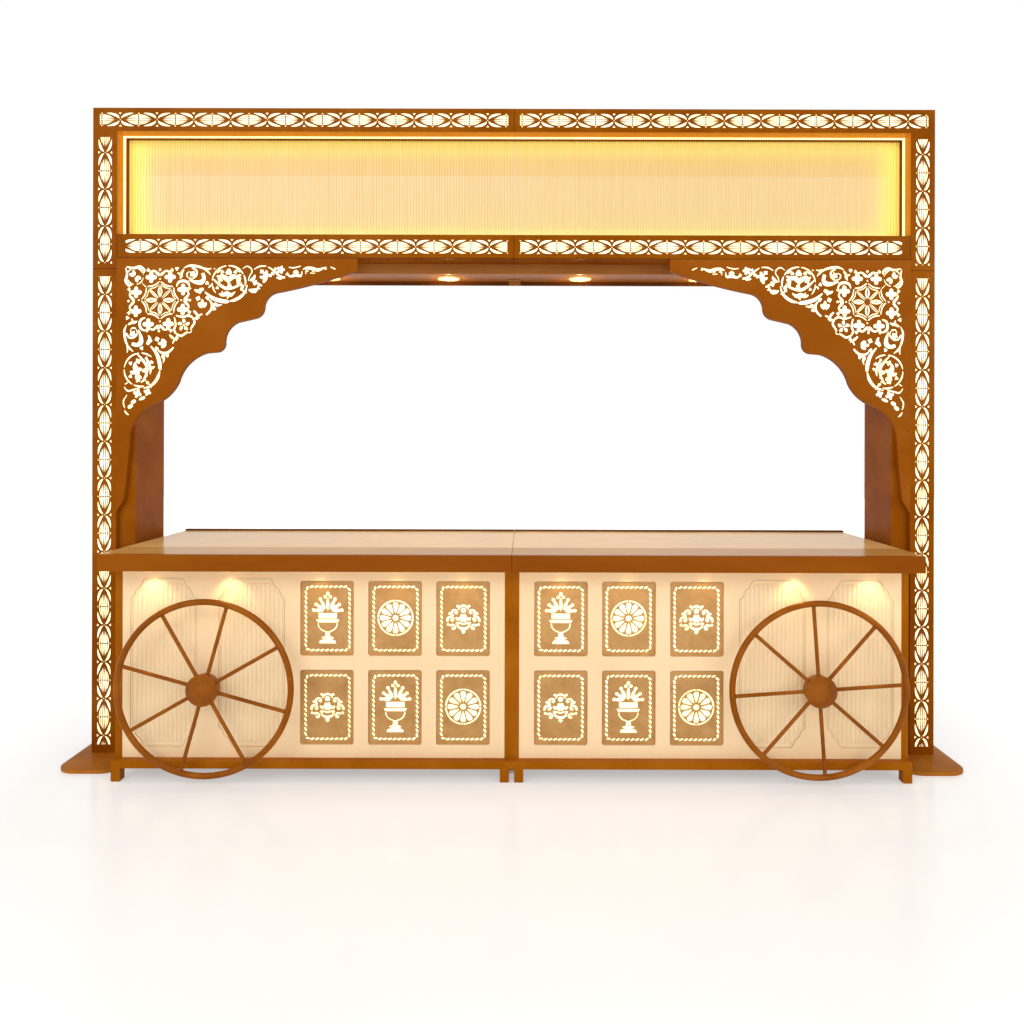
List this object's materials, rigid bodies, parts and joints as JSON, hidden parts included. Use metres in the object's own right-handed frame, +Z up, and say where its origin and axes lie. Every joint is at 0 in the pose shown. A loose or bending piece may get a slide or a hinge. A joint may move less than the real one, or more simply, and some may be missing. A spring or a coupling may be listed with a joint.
{
  "type": "canopy cart counter",
  "caption": "Lit market counter: two tables with wagon wheels and pierced tiles between pillars that carry a header light box, arch brackets and a shallow canopy.",
  "frame": {"origin": "on the floor, on the centre line, at half the overall depth", "axes": "+X along the counter to the right as seen from the customer's side, +Y from the front to the back, +Z up"},
  "size_m": [3.27, 0.8, 2.44],
  "materials": {
    "brown_lacquer": "glossy golden brown lacquer",
    "board_brown": "glossy golden brown lacquer on board",
    "cream_board": "satin cream paint on board",
    "cream_top": "glossy cream laminate",
    "tile_gilt": "satin gilt",
    "diffuser": "milky sheet, lit from behind",
    "light": "light source",
    "header_face": "satin cream, lit from its edges",
    "plain_steel": "turned steel",
    "dark_trim": "dark brown lacquer",
    "inner_board": "plain board",
    "inner_metal": "white painted sheet",
    "electric_case": "grey painted case",
    "black_plastic": "matt black"
  },
  "bodies": {
    "counter": {"base_frame_left": "brown_lacquer", "base_frame_right": "brown_lacquer", "table_posts_left": "brown_lacquer", "table_posts_right": "brown_lacquer", "top_frame_left": "brown_lacquer", "top_frame_right": "brown_lacquer", "front_panel_left": "cream_board", "front_panel_right": "cream_board", "fascia_left": "board_brown", "fascia_right": "board_brown", "border_board_left": "board_brown", "border_board_right": "board_brown", "cream_top_left": "cream_top", "cream_top_right": "cream_top", "lower_column_left": "brown_lacquer", "lower_column_right": "brown_lacquer", "upper_column_left": "brown_lacquer", "upper_column_right": "brown_lacquer", "side_wall_left": "brown_lacquer", "side_wall_right": "brown_lacquer", "arch_bracket_left": "board_brown", "arch_bracket_right": "board_brown", "picture_tiles_left": "tile_gilt", "picture_tiles_right": "tile_gilt", "base_plates": "brown_lacquer", "stub_axles": "plain_steel", "levelling_feet": "brown_lacquer", "storage_shelves": "inner_board", "end_panels": "inner_board", "fluted_insets": "cream_board", "tile_diffusers": "diffuser", "tile_light_boxes": "inner_metal", "rear_edge_trim": "dark_trim", "soffit_boards": "cream_board", "panel_spotlights": "light", "band_diffusers": "diffuser", "led_bars": "light", "header_top_rail": "brown_lacquer", "header_lower_rail": "brown_lacquer", "header_panel": "header_face", "header_back": "inner_metal", "header_led_profiles": "light", "ceiling_modules": "brown_lacquer", "rear_lip": "dark_trim", "ceiling_downlights": "light", "arch_diffusers": "diffuser", "arch_back_covers": "brown_lacquer", "power_supplies": "electric_case", "joining_pieces": "plain_steel", "power_inlet": "black_plastic"},
    "wheel_left": {"wheel_rim_left": "brown_lacquer", "wheel_hub_left": "brown_lacquer"},
    "wheel_right": {"wheel_rim_right": "brown_lacquer", "wheel_hub_right": "brown_lacquer"}
  },
  "joints": [
    {"name": "wheel_left_turn", "type": "hinge", "parent": "counter", "child": "wheel_left", "pos_m": [-1.055, -0.35, 0.337], "axis": [0, 1, 0], "continuous": true},
    {"name": "wheel_right_turn", "type": "hinge", "parent": "counter", "child": "wheel_right", "pos_m": [1.055, -0.35, 0.337], "axis": [0, 1, 0], "continuous": true}
  ]
}
